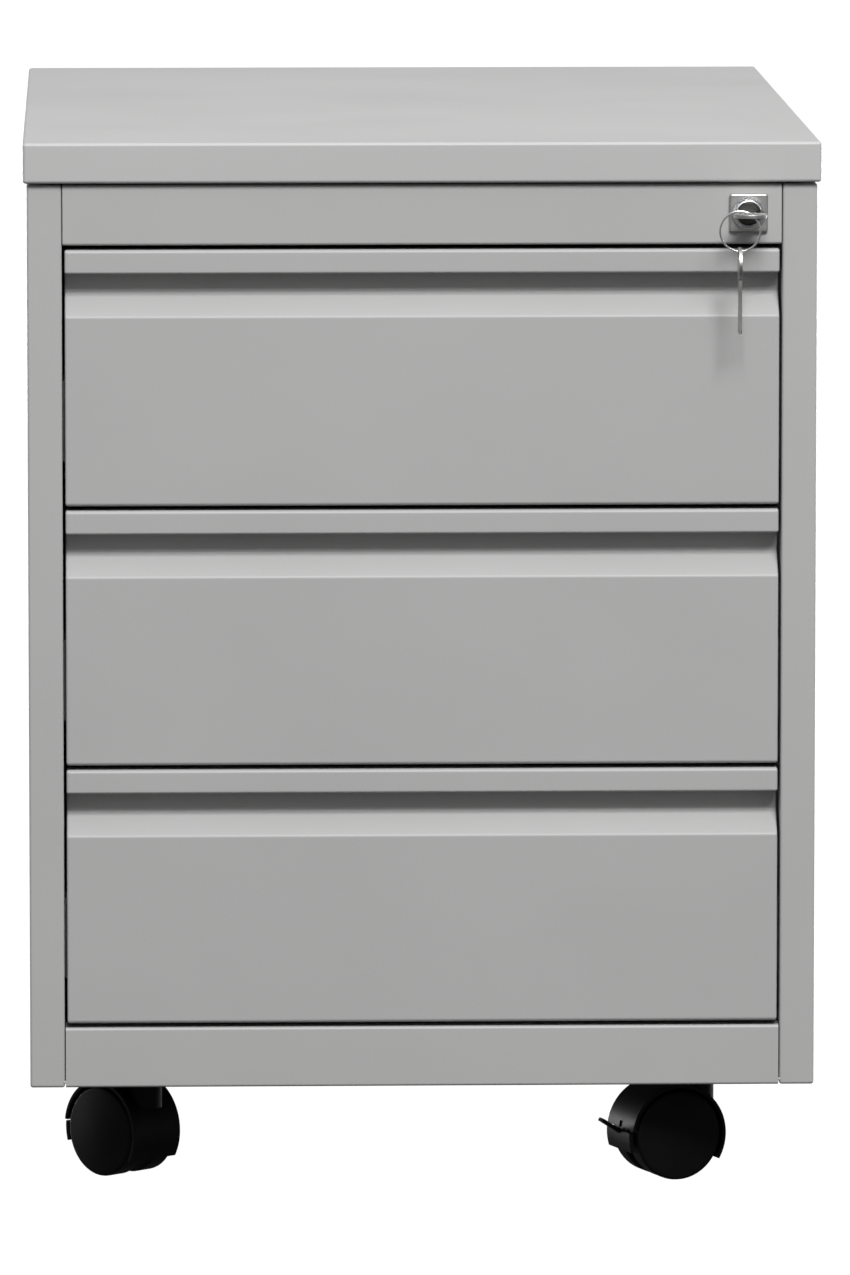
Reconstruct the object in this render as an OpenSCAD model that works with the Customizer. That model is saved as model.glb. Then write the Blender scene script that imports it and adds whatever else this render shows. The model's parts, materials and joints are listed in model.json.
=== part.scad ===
// Three-drawer mobile steel filing cabinet with a central lock and four twin-wheel casters.
// The front faces -Y, +X is to the right seen from the front, and +Z is up.
// The origin is on the floor under the middle of the whole object, the key in its lock included.

/* [Body] */
// Width of the steel body
body_w = 430; // [420:5:480]
// Depth of the steel body, from its front face to its back face
body_d = 584; // [580:2:640]
// Thickness of the sheet steel
sheet = 1; // [0.8:0.1:1.2]
// Width of the stile at each side of the drawers
stile_w = 19; // [18:0.5:22]
// Height of the top rail and of the bottom rail
rail_h = 33; // [32:1:40]

/* [Top cover] */
// Height of the cover pan
cover_h = 22; // [18:1:28]
// How far the cover stands out past each side of the body
cover_side = 2; // [1:0.5:6]
// How far the cover stands out in front of the body
cover_front = 4; // [2:0.5:6]
// How far the cover stands out behind the body
cover_back = 2; // [1:0.5:6]
// Shadow gap between the body and the cover
cover_gap = 1; // [0.5:0.5:3]

/* [Drawers] */
// Height of a drawer front
front_h = 140; // [130:1:180]
// Thickness of a drawer front, its liner included
front_t = 16; // [15:0.5:18]
// Gap above and below each drawer front
front_gap = 2.5; // [2:0.5:4]
// Gap between a drawer front and the stile
side_gap = 1.5; // [1:0.5:3]
// Height of the lip over the finger pull
lip_h = 13; // [10:0.5:18]
// Height of the back wall of the finger pull
pull_h = 11.5; // [9:0.5:14]
// Depth of the finger pull
pull_d = 13; // [11:0.5:13]
// Height over which the ramp of the finger pull comes forward
ramp_h = 12; // [8:0.5:20]
// Length of a drawer tray
tray_l = 540; // [500:5:545]
// Height of a drawer tray
tray_h = 100; // [90:1:110]

/* [Slides] */
// Height of the fixed slide member
slide_h = 45; // [42:1:50]
// Room for one slide between the tray and the stile
slide_t = 13; // [13:0.5:14]
// Length of each slide member
slide_l = 540; // [500:5:545]

/* [Lock and keys] */
// Distance of the lock from the middle of the cabinet
lock_x = 177.4; // [150:0.2:178]
// Distance of the lock below the top of the rail
lock_drop = 16; // [15.5:0.5:17]
// Side of the square lock plate
lock_plate = 21; // [20:0.5:24]
// Radius of the round bow of a key
bow_r = 9.2; // [8.5:0.1:9.2]
// Thickness of a key
key_t = 2; // [1.6:0.1:2]
// Radius of the key ring, to the middle of its wire
ring_r = 10.9; // [10.5:0.1:12]

/* [Casters] */
// Height of a caster from the floor to the underside of the body
caster_h = 60; // [60:1:70]
// Diameter of a caster wheel
wheel_d = 50; // [46:1:50]
// Distance of each caster stem from the side, the front and the back of the body
caster_inset = 62; // [60:1:80]
// Distance of the axle behind the stem of a caster
trail = 17; // [16:0.5:18]

/* [Hidden] */
$fn = 64;
// How far a cutting shape runs past the face it cuts
cut = 1;

// Levels and planes of the body
body_h = 2 * rail_h + 3 * front_h + 4 * front_gap;
base_z = caster_h;
top_z = base_z + body_h;
half_w = body_w / 2;
stile_x = half_w - stile_w;
hole_rim = 1.5;
hole_r = 3.6;
hang_out = 23;
key_out = hang_out + hole_r + hole_rim;
keys_reach = hang_out + bow_r;
y_front = keys_reach - (keys_reach + body_d + cover_back) / 2;
y_back = y_front + body_d;
stile_return = 15;
flange = 12;
rail_flange = 26;
rail_inner_flange = 20;
seam = 0.4;
panel_y = y_front + stile_return + 1;

// Top cover, its stiffening channels and its screws
cover_w = body_w + 2 * cover_side;
cover_d = body_d + cover_front + cover_back;
cover_y = y_front - cover_front + cover_d / 2;
cover_z = top_z + cover_gap;
cover_return = 12;
cover_corner = 2;
stiffener_w = 36;
stiffener_foot = 14;
stiffener_l = 380;
stiffener_y = 150;
stiffener_z = top_z - sheet;
stiffener_h = cover_z + cover_h - sheet - stiffener_z;
screw_r = 2;
screw_head_r = 4;
screw_head_h = 2.4;
screw_l = 7;
screw_x = 150;

// Drawer fronts, trays and the catches that the lock bar holds
front_w = 2 * (stile_x - side_gap);
liner_in = 0.5;
tray_w = 2 * (stile_x - slide_t);
tray_y = y_front + front_t;
tray_rise = 6;
tray_hem = 2.5;
hem_t = 2;
catch_out = 11;
catch_z = 84;
catch_h = 8;
catch_y = y_front + 35;
catch_l = 8;

// Slides, each member measured inward from the stile plane
slide_y = y_front + 18;
slide_z = 45;
steel = 1.2;
outer_lip = 9;
mid_u0 = 4;
mid_u1 = 9;
mid_h = 34;
inner_u = 6.5;
inner_h = 22;
glide_l = 30;
glide_gap = 0.2;
post_w = 20;
post_ys = [y_front + 42, y_front + 480];

// Lock, cam and lock bar
lock_z = top_z - lock_drop;
plate_t = 2.2;
lock_ring_r = 9;
lock_ring_out = 4.2;
barrel_r = 8;
barrel_l = 22;
cylinder_r = 6;
cylinder_gap = 0.1;
cylinder_out = 4;
cylinder_l = 26;
nut_r = 12.5;
nut_t = 4;
cam_t = 2;
cam_w = 8;
crank_r = 10;
crank_a = 45;
crank_pin_r = 2;
crank_pin_l = 5;
cam_screw_r = 3.5;
cam_screw_h = 1.5;
bar_y = y_front + 30;
bar_t = 2;
bar_x = half_w - 15;
bar_w = 12;
bar_z0 = base_z + 66;
bar_arm_h = 11;
bar_arm_x = lock_x + 3.6;
fork_x = lock_x + 13.2;
fork_clear = 0.9;
tab_x = stile_x - 6.5;
tab_h = 8;
tab_drop = 5;
pin_z = lock_z - crank_r * sin(crank_a);
guide_zs = [base_z + 92, base_z + 440];
guide_h = 10;
guide_t = 6;
guide_gap = 0.4;

// Keys and key ring
neck_w = 7.6;
neck_l = 9;
blade_w = 6.4;
blade_l = 19.6;
key_way_gap = 0.2;
notch_r = 1.2;
notch_pitch = 3.4;
wire_r = 0.6;
ring_a = 54;
wire_off = 0.95;
ring_hang = ring_r - wire_off;
hang_y = y_front - hang_out;
ring_x = lock_x - ring_hang * cos(ring_a);
ring_z = lock_z - ring_hang * sin(ring_a);
hang_slack = 0.1;
hole_drop = hole_r - wire_r - hang_slack;
bow_to_hole = bow_r - hole_rim - hole_r;
notch_start = 4;
shallow_notch = 0.7;

// Casters: hood, wheels, pins, sockets and the channels that carry them
wheel_r = wheel_d / 2;
axle_z = wheel_r;
axle_r = 3;
axle_l = 34;
wheel_in = 4.3;
wheel_w = 15.2;
wheel_bore_r = axle_r + 0.15;
wheel_bore_l = 13;
wheel_hub_r = 7;
wheel_hub_l = 11.2;
wheel_rim_t = 4.5;
wheel_chamfer = 0.8;
wheel_tread_l = 11.5;
wheel_shoulder = 1;
wheel_shoulder_l = 13;
wheel_dome_r = 14;
wheel_dome_l = 14.6;
hood_in_r = wheel_r + 1.3;
hood_r = hood_in_r + 2;
hood_w = 35;
hood_from = 8;
hood_to = 211;
web_w = 7.6;
web_lap = 0.5;
web_to = 200;
web_low_from = -8;
web_low_gap = 0.6;
hub_r = 8;
boss_r = 10.5;
boss_over = 14;
swivel_gap = 0.4;
stem_r = 5;
stem_z0 = axle_z + 24;
stem_z1 = base_z + 28;
socket_r = 8;
socket_bore_r = stem_r + 0.15;
socket_flange_r = 13;
socket_h = 30;
channel_w = 44;
channel_h = 22;
channel_l = 2 * (stile_x - 8);
lever_r = 20.5;
lever_a = 10;
lever_x = trail + lever_r * cos(lever_a);
lever_z = axle_z + lever_r * sin(lever_a);
lever_arm_t = 3;
lever_arm_low = -1.5;
lever_arm_top = 2.3;
lever_slot = 3.4;
lever_slot_in = 13;
lever_slot_down = 14;
lever_slot_up = 7.5;
lever_hub_r = 3.4;
lever_pin_r = 1.2;
lever_bore_r = 1.35;
shoe_in_r = wheel_r + 2;
shoe_r = shoe_in_r + 2.4;
shoe_from = -17;
shoe_to = 5;
shoe_w = 31;
thumb_x = 28.6;
thumb_z = 0.4;
thumb_a = 33;
thumb_l = 14;
thumb_w = 6;
thumb_t = 2;
caster_x = half_w - caster_inset;
caster_y = [y_front + caster_inset, y_back - caster_inset];
// Rest angle of the trailing side of each caster: front left, front right, rear left, rear right
casters = [
    [-caster_x, caster_y[0], 133],
    [caster_x, caster_y[0], 201],
    [-caster_x, caster_y[1], 150],
    [caster_x, caster_y[1], 212]
];
fl = 0;
fr = 1;
rl = 2;
rr = 3;

// Colours
body_grey = [0.80, 0.80, 0.79];
cover_grey = [0.84, 0.84, 0.83];
front_grey = [0.78, 0.78, 0.77];
inner_grey = [0.62, 0.62, 0.62];
zinc = [0.70, 0.72, 0.74];
chrome = [0.86, 0.87, 0.88];
nylon = [0.92, 0.91, 0.86];
plastic_black = [0.06, 0.06, 0.06];

// Underside of the front of drawer i, counted from the top
function front_z(i) = base_z + rail_h + front_gap + (3 - i) * (front_h + front_gap);

// Box between two opposite corners
module slab(lo, hi) {
    translate(lo) cube(hi - lo);
}

// Box centred on X and Y that stands on its own base plane
module plate(w, d, h) {
    translate([-w / 2, -d / 2, 0]) cube([w, d, h]);
}

module mirrored(left) {
    mirror([left ? 1 : 0, 0, 0]) children();
}

// Places a shape drawn round the Z axis with its axis along +Y
module along_y(x, y, z) {
    translate([x, y, z]) rotate([-90, 0, 0]) children();
}

// Rectangle with round corners
module round_rect(w, d, r) {
    square([w - 2 * r, d], center = true);
    square([w, d - 2 * r], center = true);
    for (x = [-1, 1], y = [-1, 1])
        translate([x * (w / 2 - r), y * (d / 2 - r)]) circle(r = r, $fn = 32);
}

// ---- Top of the cabinet ----

module top_cover() {
    color(cover_grey)
    translate([0, cover_y, cover_z])
    difference() {
        linear_extrude(cover_h) round_rect(cover_w, cover_d, cover_corner);
        translate([0, 0, sheet])
            plate(cover_w - 2 * sheet, cover_d - 2 * sheet, cover_h - 2 * sheet);
        translate([0, 0, -sheet])
            plate(cover_w - 2 * cover_return, cover_d - 2 * cover_return, 3 * sheet);
    }
}

// Screw places, one pair on each stiffening channel
module at_cover_screws() {
    foot_y = stiffener_w / 2 + stiffener_foot / 2;
    for (x = [-screw_x, screw_x], y = [-stiffener_y - foot_y, stiffener_y + foot_y])
        translate([x, y, stiffener_z]) children();
}

module top_stiffeners() {
    color(inner_grey)
    difference() {
        for (y = [-stiffener_y, stiffener_y])
            translate([0, y, stiffener_z])
            difference() {
                union() {
                    plate(stiffener_l, stiffener_w, stiffener_h);
                    plate(stiffener_l, stiffener_w + 2 * stiffener_foot, sheet);
                }
                translate([0, 0, -sheet])
                    plate(stiffener_l + 2 * cut, stiffener_w - 2 * sheet, stiffener_h);
            }
        at_cover_screws() cylinder(r = screw_r, h = 4 * sheet, center = true);
    }
}

module cover_screws() {
    color(zinc)
    at_cover_screws() {
        translate([0, 0, -sheet - screw_head_h]) cylinder(r = screw_head_r, h = screw_head_h);
        translate([0, 0, -sheet]) cylinder(r = screw_r, h = screw_l);
    }
}

module inner_top() {
    x = half_w - sheet;
    z = top_z - sheet;
    color(inner_grey)
    difference() {
        slab([-x, panel_y, z - flange], [x, y_back - sheet, z]);
        slab([-x + sheet, panel_y - cut, z - flange - cut], [x - sheet, y_back - 2 * sheet, z - sheet]);
        slab([-x + sheet, y_back - 3 * sheet, z - flange - cut], [x - sheet, y_back, z - sheet]);
        at_cover_screws() cylinder(r = screw_r, h = 4 * sheet, center = true);
    }
}

// ---- Carcass ----

// Right-hand side panel: wall, box stile, back flange, top and bottom flanges
module side_sheet() {
    color(body_grey)
    union() {
        translate([0, 0, base_z])
        linear_extrude(body_h) {
            translate([half_w - sheet, y_front]) square([sheet, body_d]);
            translate([stile_x, y_front]) square([stile_w, sheet]);
            translate([stile_x, y_front]) square([sheet, stile_return]);
            translate([half_w - flange, y_back - sheet]) square([flange, sheet]);
        }
        for (z = [base_z, top_z - sheet])
            slab([half_w - flange, y_front, z], [half_w, y_back, z + sheet]);
    }
}

module side_panel_left() {
    mirrored(true) side_sheet();
}

module side_panel_right() {
    mirrored(false) side_sheet();
}

module back_panel() {
    x = half_w - 2 * sheet;
    y = y_back - sheet;
    bead_w = 14;
    bead_d = 2;
    bead_x = 110;
    bead_end = 40;
    z0 = base_z + 2 * sheet;
    z1 = top_z - 2 * sheet;
    color(body_grey)
    difference() {
        union() {
            slab([-x, y - sheet, z0], [x, y, z1]);
            for (s = [-bead_x, bead_x])
                slab([s - bead_w / 2, y - sheet - bead_d, z0 + bead_end],
                     [s + bead_w / 2, y, z1 - bead_end]);
        }
        for (s = [-bead_x, bead_x])
            slab([s - bead_w / 2 + sheet, y - bead_d, z0 + bead_end + sheet],
                 [s + bead_w / 2 - sheet, y + cut, z1 - bead_end - sheet]);
    }
}

module base_pan() {
    x = half_w - sheet;
    z = base_z + sheet;
    flange_h = 18;
    color(body_grey)
    difference() {
        slab([-x, panel_y, z], [x, y_back - sheet, z + flange_h]);
        slab([-x + sheet, panel_y - cut, z + sheet], [x - sheet, y_back, z + flange_h + cut]);
        at_sockets() cylinder(r = socket_r, h = 6 * sheet, center = true);
    }
}

// Rail between the stiles: a channel that is open at the back. The deep flange joins the panel.
module rail(z0, deep_flange_z, short_flange_z) {
    slab([-stile_x + seam, y_front, z0], [stile_x - seam, y_front + sheet, z0 + rail_h]);
    slab([-stile_x, y_front + sheet, deep_flange_z],
         [stile_x, y_front + rail_flange, deep_flange_z + sheet]);
    slab([-stile_x, y_front + sheet, short_flange_z],
         [stile_x, y_front + rail_inner_flange, short_flange_z + sheet]);
}

module top_rail() {
    color(body_grey)
    difference() {
        rail(top_z - rail_h, top_z - sheet, top_z - rail_h);
        along_y(lock_x, y_front - cut, lock_z) cylinder(r = barrel_r, h = sheet + 2 * cut);
    }
}

module bottom_rail() {
    color(body_grey) rail(base_z, base_z, base_z + rail_h - sheet);
}

// ---- Fixed slide members and their posts ----

module slide_posts() {
    color(zinc)
    for (left = [false, true], y = post_ys)
        mirrored(left)
        translate([0, 0, base_z + 2 * sheet])
        linear_extrude(body_h - 4 * sheet) {
            translate([stile_x, y]) square([steel, post_w]);
            translate([stile_x, y]) square([stile_w - 2 * sheet, steel]);
        }
}

// Right-hand fixed members: a lipped channel for each drawer
module outer_members() {
    color(zinc)
    for (i = [1:3])
        translate([stile_x, slide_y, front_z(i) + slide_z]) {
            slab([-steel, 0, -slide_h / 2], [0, slide_l, slide_h / 2]);
            for (z = [-slide_h / 2, slide_h / 2 - steel])
                slab([-outer_lip, 0, z], [0, slide_l, z + steel]);
        }
}

module slide_outer_left() {
    mirrored(true) outer_members();
}

module slide_outer_right() {
    mirrored(false) outer_members();
}

// Middle member of drawer i with its four nylon glides
module slide_mid(left, i) {
    glide_h = slide_h / 2 - steel - mid_h / 2 - glide_gap;
    mirrored(left)
    translate([stile_x, slide_y, front_z(i) + slide_z]) {
        color(zinc) {
            slab([-mid_u0 - steel, 0, -mid_h / 2], [-mid_u0, slide_l, mid_h / 2]);
            for (z = [-mid_h / 2, mid_h / 2 - steel])
                slab([-mid_u1, 0, z], [-mid_u0, slide_l, z + steel]);
        }
        color(nylon)
        for (y = [0, slide_l - glide_l], z = [-mid_h / 2 - glide_h, mid_h / 2])
            slab([-mid_u1, y, z], [-steel - glide_gap, y + glide_l, z + glide_h]);
    }
}

// Pair of inner members of drawer i, each with two nylon glides at its back end
module drawer_slides(i) {
    glide_h = mid_h / 2 - steel - inner_h / 2 - glide_gap;
    for (left = [false, true])
        mirrored(left)
        translate([stile_x - slide_t, slide_y, front_z(i) + slide_z]) {
            color(zinc) {
                slab([0, 0, -inner_h / 2], [steel, slide_l, inner_h / 2]);
                for (z = [-inner_h / 2, inner_h / 2 - steel])
                    slab([0, 0, z], [inner_u, slide_l, z + steel]);
            }
            color(nylon)
            for (z = [-inner_h / 2 - glide_h, inner_h / 2])
                slab([steel, slide_l - glide_l, z],
                     [slide_t - mid_u0 - steel - glide_gap, slide_l, z + glide_h]);
        }
}

// ---- Drawers ----

module drawer_tray(i) {
    x = tray_w / 2;
    z = front_z(i) + tray_rise;
    color(inner_grey)
    union() {
        difference() {
            slab([-x, tray_y, z], [x, tray_y + tray_l, z + tray_h]);
            slab([-x + sheet, tray_y + sheet, z + sheet],
                 [x - sheet, tray_y + tray_l - sheet, z + tray_h + cut]);
        }
        for (s = [-1, 1])
            slab([s > 0 ? x : -x - tray_hem, tray_y, z + tray_h - hem_t],
                 [s > 0 ? x + tray_hem : -x, tray_y + tray_l, z + tray_h]);
        slab([x, catch_y, front_z(i) + catch_z],
             [x + catch_out, catch_y + catch_l, front_z(i) + catch_z + catch_h]);
    }
}

// Section of a drawer front, [depth, height from its top], moved inward by t
function front_section(t, back) =
    let (slope = ramp_h / pull_d, drop = t * sqrt(1 + slope * slope))
    [
        [t, -t],
        [t, -lip_h + t],
        [pull_d + t, -lip_h + t],
        [pull_d + t, -lip_h - pull_h + slope * t - drop],
        [t, -lip_h - pull_h - ramp_h + slope * t - drop],
        [t, -front_h + t],
        [back, -front_h + t],
        [back, -t]
    ];

// Extrudes a [depth, height] section across the cabinet
module across(w) {
    rotate([90, 0, 90]) linear_extrude(w, center = true) children();
}

module drawer_front(i) {
    color(front_grey)
    translate([0, y_front, front_z(i) + front_h])
    difference() {
        across(front_w) polygon(front_section(0, front_t - sheet));
        across(front_w - 2 * sheet) polygon(front_section(sheet, front_t + cut));
    }
}

module drawer_liner(i) {
    x = front_w / 2 - liner_in;
    z = front_z(i);
    color(inner_grey)
    slab([-x, y_front + front_t - sheet, z + liner_in],
         [x, y_front + front_t, z + front_h - liner_in]);
}

// ---- Lock ----

module lock_housing() {
    color(chrome)
    difference() {
        union() {
            along_y(lock_x, y_front - plate_t, lock_z)
                linear_extrude(plate_t) round_rect(lock_plate, lock_plate, 1.5);
            along_y(lock_x, y_front - lock_ring_out, lock_z) cylinder(r = lock_ring_r, h = lock_ring_out);
            along_y(lock_x, y_front - plate_t, lock_z) cylinder(r = barrel_r, h = plate_t + barrel_l);
        }
        along_y(lock_x, y_front - lock_ring_out - cut, lock_z)
            cylinder(r = cylinder_r + cylinder_gap, h = lock_ring_out + barrel_l + 2 * cut);
    }
}

module lock_nut() {
    color(zinc)
    along_y(lock_x, y_front + sheet, lock_z)
    difference() {
        cylinder(r = nut_r, h = nut_t, $fn = 6);
        translate([0, 0, -cut]) cylinder(r = barrel_r, h = nut_t + 2 * cut);
    }
}

module lock_cylinder() {
    way_w = neck_w + 2 * key_way_gap;
    way_t = key_t + 2 * key_way_gap;
    way_l = blade_l + neck_l + 2 * bow_r - key_out + cut;
    color(chrome)
    difference() {
        along_y(lock_x, y_front - cylinder_out, lock_z)
            cylinder(r = cylinder_r, h = cylinder_out + cylinder_l);
        slab([lock_x - way_w / 2, y_front - cylinder_out - cut, lock_z - way_t / 2],
             [lock_x + way_w / 2, y_front + way_l, lock_z + way_t / 2]);
    }
}

// Crank plate on the back of the lock cylinder, with the pin that drives the lock bar
module lock_cam() {
    color(zinc)
    along_y(lock_x, y_front + cylinder_l, lock_z) {
        linear_extrude(cam_t) {
            circle(r = cylinder_r);
            rotate(crank_a) translate([0, -cam_w / 2]) square([crank_r, cam_w]);
            rotate(crank_a) translate([crank_r, 0]) circle(r = cam_w / 2);
        }
        cylinder(r = cam_screw_r, h = cam_t + cam_screw_h);
        rotate(crank_a) translate([crank_r, 0, 0]) cylinder(r = crank_pin_r, h = cam_t + crank_pin_l);
    }
}

// Bar that the cam lifts, with a fork round the cam pin and a tab under the catch of each drawer
module lock_bar() {
    arm_z = pin_z - bar_arm_h / 2;
    fork_h = 2 * (crank_pin_r + fork_clear);
    color(zinc)
    difference() {
        union() {
            slab([bar_x, bar_y, bar_z0], [bar_x + bar_w, bar_y + bar_t, arm_z + bar_arm_h]);
            slab([bar_arm_x, bar_y, arm_z], [bar_x + bar_w, bar_y + bar_t, arm_z + bar_arm_h]);
            for (i = [1:3])
                slab([tab_x, bar_y, front_z(i) + catch_z - tab_drop - tab_h],
                     [bar_x + bar_w, bar_y + bar_t, front_z(i) + catch_z - tab_drop]);
        }
        slab([bar_arm_x - cut, bar_y - cut, pin_z - fork_h / 2],
             [fork_x, bar_y + bar_t + cut, pin_z + fork_h / 2]);
    }
}

module lock_bar_guides() {
    color(nylon)
    for (z = guide_zs)
        difference() {
            slab([bar_x - 2, bar_y + bar_t / 2 - guide_t / 2, z],
                 [half_w - sheet, bar_y + bar_t / 2 + guide_t / 2, z + guide_h]);
            slab([bar_x - guide_gap, bar_y - guide_gap, z - cut],
                 [bar_x + bar_w + guide_gap, bar_y + bar_t + guide_gap, z + guide_h + cut]);
        }
}

// Flat key with the middle of its ring hole on the origin and its blade along +X
module key_shape() {
    neck_x = bow_to_hole + bow_r - cut;
    linear_extrude(key_t, center = true)
    difference() {
        union() {
            translate([bow_to_hole, 0]) circle(r = bow_r);
            translate([neck_x, -neck_w / 2]) square([neck_l + cut, neck_w]);
            translate([neck_x + neck_l, -blade_w / 2]) square([blade_l + cut, blade_w]);
        }
        circle(r = hole_r);
        for (n = [0:4])
            translate([neck_x + neck_l + notch_start + n * notch_pitch, blade_w / 2])
                circle(r = notch_r * (n % 2 == 0 ? 1 : shallow_notch), $fn = 4);
    }
}

module key() {
    color(chrome) translate([lock_x, hang_y, lock_z]) rotate([0, 0, 90]) key_shape();
}

module key_ring() {
    color(chrome)
    along_y(ring_x, hang_y, ring_z)
    rotate_extrude($fn = 96) translate([ring_r, 0]) circle(r = wire_r, $fn = 16);
}

module spare_key() {
    color(chrome)
    translate([ring_x, hang_y, ring_z - ring_r - hole_drop])
    rotate([0, 90, 0]) key_shape();
}

// ---- Casters ----

module at_sockets() {
    for (c = casters)
        translate([c[0], c[1], base_z]) children();
}

module caster_sockets() {
    color(zinc)
    at_sockets()
    difference() {
        union() {
            cylinder(r = socket_flange_r, h = sheet);
            cylinder(r = socket_r, h = socket_h);
        }
        translate([0, 0, -cut]) cylinder(r = socket_bore_r, h = socket_h + 2 * cut);
    }
}

module caster_channels() {
    color(zinc)
    difference() {
        for (y = caster_y)
            translate([0, y, base_z + 2 * sheet])
            difference() {
                plate(channel_l, channel_w, channel_h);
                translate([0, 0, -steel]) plate(channel_l + 2 * cut, channel_w - 2 * steel, channel_h);
            }
        at_sockets() cylinder(r = socket_r, h = socket_h);
    }
}

// Places a caster drawn with its stem on the Z axis and its axle on the +X side
module caster_at(c) {
    translate([casters[c][0], casters[c][1], 0]) rotate([0, 0, casters[c][2]]) children();
}

// Round shapes about the axle of a caster
module about_axle() {
    translate([trail, 0, axle_z]) rotate([90, 0, 0]) children();
}

// Sector between two angles, with its point on the axle
module sector(r, from, to) {
    steps = 12;
    polygon([
        [0, 0],
        for (k = [0:steps])
            let (a = from + (to - from) * k / steps) 2 * r * [cos(a), sin(a)]
    ]);
}

// Hood of caster c: an arch over both wheels, a web between them and a boss round the stem
module caster_hood(c, braked) {
    color(plastic_black)
    caster_at(c)
    difference() {
        union() {
            about_axle() linear_extrude(hood_w, center = true)
            intersection() {
                difference() {
                    circle(r = hood_r);
                    circle(r = hood_in_r);
                }
                sector(hood_r, hood_from, hood_to);
            }
            about_axle() linear_extrude(web_w, center = true) {
                intersection() {
                    circle(r = hood_in_r + web_lap);
                    sector(hood_r, hood_from, web_to);
                }
                intersection() {
                    circle(r = hood_in_r - web_low_gap);
                    sector(hood_r, web_low_from, hood_from + cut);
                }
                circle(r = hub_r);
            }
            difference() {
                translate([0, 0, axle_z + boss_over])
                    cylinder(r = boss_r, h = caster_h - swivel_gap - axle_z - boss_over);
                for (s = [-1, 1])
                    translate([0, s * (web_w / 2 + hood_w / 2), 0])
                    about_axle() cylinder(r = hood_in_r, h = hood_w, center = true);
            }
        }
        translate([0, 0, stem_z0]) cylinder(r = stem_r, h = caster_h);
        about_axle() cylinder(r = axle_r, h = hood_w, center = true);
        if (braked) {
            slab([trail + lever_slot_in, -lever_slot / 2, axle_z - lever_slot_down],
                 [trail + hood_r + cut, lever_slot / 2, axle_z + lever_slot_up]);
            translate([lever_x, 0, lever_z]) rotate([90, 0, 0])
                cylinder(r = lever_pin_r, h = hood_w, center = true);
        }
    }
}

// Wheel of caster c on side s of its hood, turned about its axle
module caster_wheel(c, s) {
    color(plastic_black)
    caster_at(c)
    translate([trail, s * wheel_in, axle_z])
    rotate([-90 * s, 0, 0])
    rotate_extrude()
    polygon([
        [0, wheel_bore_l],
        [wheel_bore_r, wheel_bore_l],
        [wheel_bore_r, 0],
        [wheel_hub_r, 0],
        [wheel_hub_r, wheel_hub_l],
        [wheel_r - wheel_rim_t, wheel_hub_l],
        [wheel_r - wheel_rim_t, 0],
        [wheel_r - wheel_chamfer, 0],
        [wheel_r, wheel_chamfer],
        [wheel_r, wheel_tread_l],
        [wheel_r - wheel_shoulder, wheel_shoulder_l],
        [wheel_dome_r, wheel_dome_l],
        [0, wheel_w]
    ]);
}

// Stem and axle of caster c, and the pin of its brake lever
module caster_pins(c, braked) {
    color(zinc)
    caster_at(c) {
        translate([0, 0, stem_z0]) cylinder(r = stem_r, h = stem_z1 - stem_z0);
        about_axle() cylinder(r = axle_r, h = axle_l, center = true);
        if (braked)
            translate([lever_x, 0, lever_z]) rotate([90, 0, 0])
                cylinder(r = lever_pin_r, h = web_w, center = true);
    }
}

// Brake lever of caster c: a hub and an arm between the wheels, a shoe across both treads and a thumb tab
module caster_lever(c) {
    color(plastic_black)
    caster_at(c)
    difference() {
        union() {
            translate([lever_x, 0, lever_z]) rotate([90, 0, 0])
                cylinder(r = lever_hub_r, h = lever_arm_t, center = true);
            slab([lever_x, -lever_arm_t / 2, axle_z + lever_arm_low],
                 [trail + shoe_in_r + cut, lever_arm_t / 2, axle_z + lever_arm_top]);
            about_axle() linear_extrude(shoe_w, center = true)
            intersection() {
                difference() {
                    circle(r = shoe_r);
                    circle(r = shoe_in_r);
                }
                sector(shoe_r, shoe_from, shoe_to);
            }
            about_axle() linear_extrude(thumb_w, center = true)
                translate([thumb_x, thumb_z]) rotate(thumb_a) square([thumb_l, thumb_t]);
        }
        translate([lever_x, 0, lever_z]) rotate([90, 0, 0])
            cylinder(r = lever_bore_r, h = lever_arm_t + 2 * cut, center = true);
    }
}

top_cover();
top_stiffeners();
cover_screws();
inner_top();
side_panel_left();
side_panel_right();
back_panel();
base_pan();
top_rail();
bottom_rail();
caster_channels();
caster_sockets();
slide_posts();
slide_outer_left();
slide_outer_right();
lock_housing();
lock_nut();
lock_bar_guides();
lock_cylinder();
lock_cam();
lock_bar();
key();
key_ring();
spare_key();
drawer_tray(1);  // drawer_1_tray
drawer_front(1);  // drawer_1_front
drawer_liner(1);  // drawer_1_liner
drawer_slides(1);  // drawer_1_slides
drawer_tray(2);  // drawer_2_tray
drawer_front(2);  // drawer_2_front
drawer_liner(2);  // drawer_2_liner
drawer_slides(2);  // drawer_2_slides
drawer_tray(3);  // drawer_3_tray
drawer_front(3);  // drawer_3_front
drawer_liner(3);  // drawer_3_liner
drawer_slides(3);  // drawer_3_slides
slide_mid(true, 1);  // slide_mid_left_1
slide_mid(true, 2);  // slide_mid_left_2
slide_mid(true, 3);  // slide_mid_left_3
slide_mid(false, 1);  // slide_mid_right_1
slide_mid(false, 2);  // slide_mid_right_2
slide_mid(false, 3);  // slide_mid_right_3
caster_hood(fl, true);  // caster_fl_hood
caster_wheel(fl, 1);  // caster_fl_wheel_a
caster_wheel(fl, -1);  // caster_fl_wheel_b
caster_pins(fl, true);  // caster_fl_pins
caster_lever(fl);  // caster_fl_lever
caster_hood(fr, true);  // caster_fr_hood
caster_wheel(fr, 1);  // caster_fr_wheel_a
caster_wheel(fr, -1);  // caster_fr_wheel_b
caster_pins(fr, true);  // caster_fr_pins
caster_lever(fr);  // caster_fr_lever
caster_hood(rl, false);  // caster_rl_hood
caster_wheel(rl, 1);  // caster_rl_wheel_a
caster_wheel(rl, -1);  // caster_rl_wheel_b
caster_pins(rl, false);  // caster_rl_pins
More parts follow.
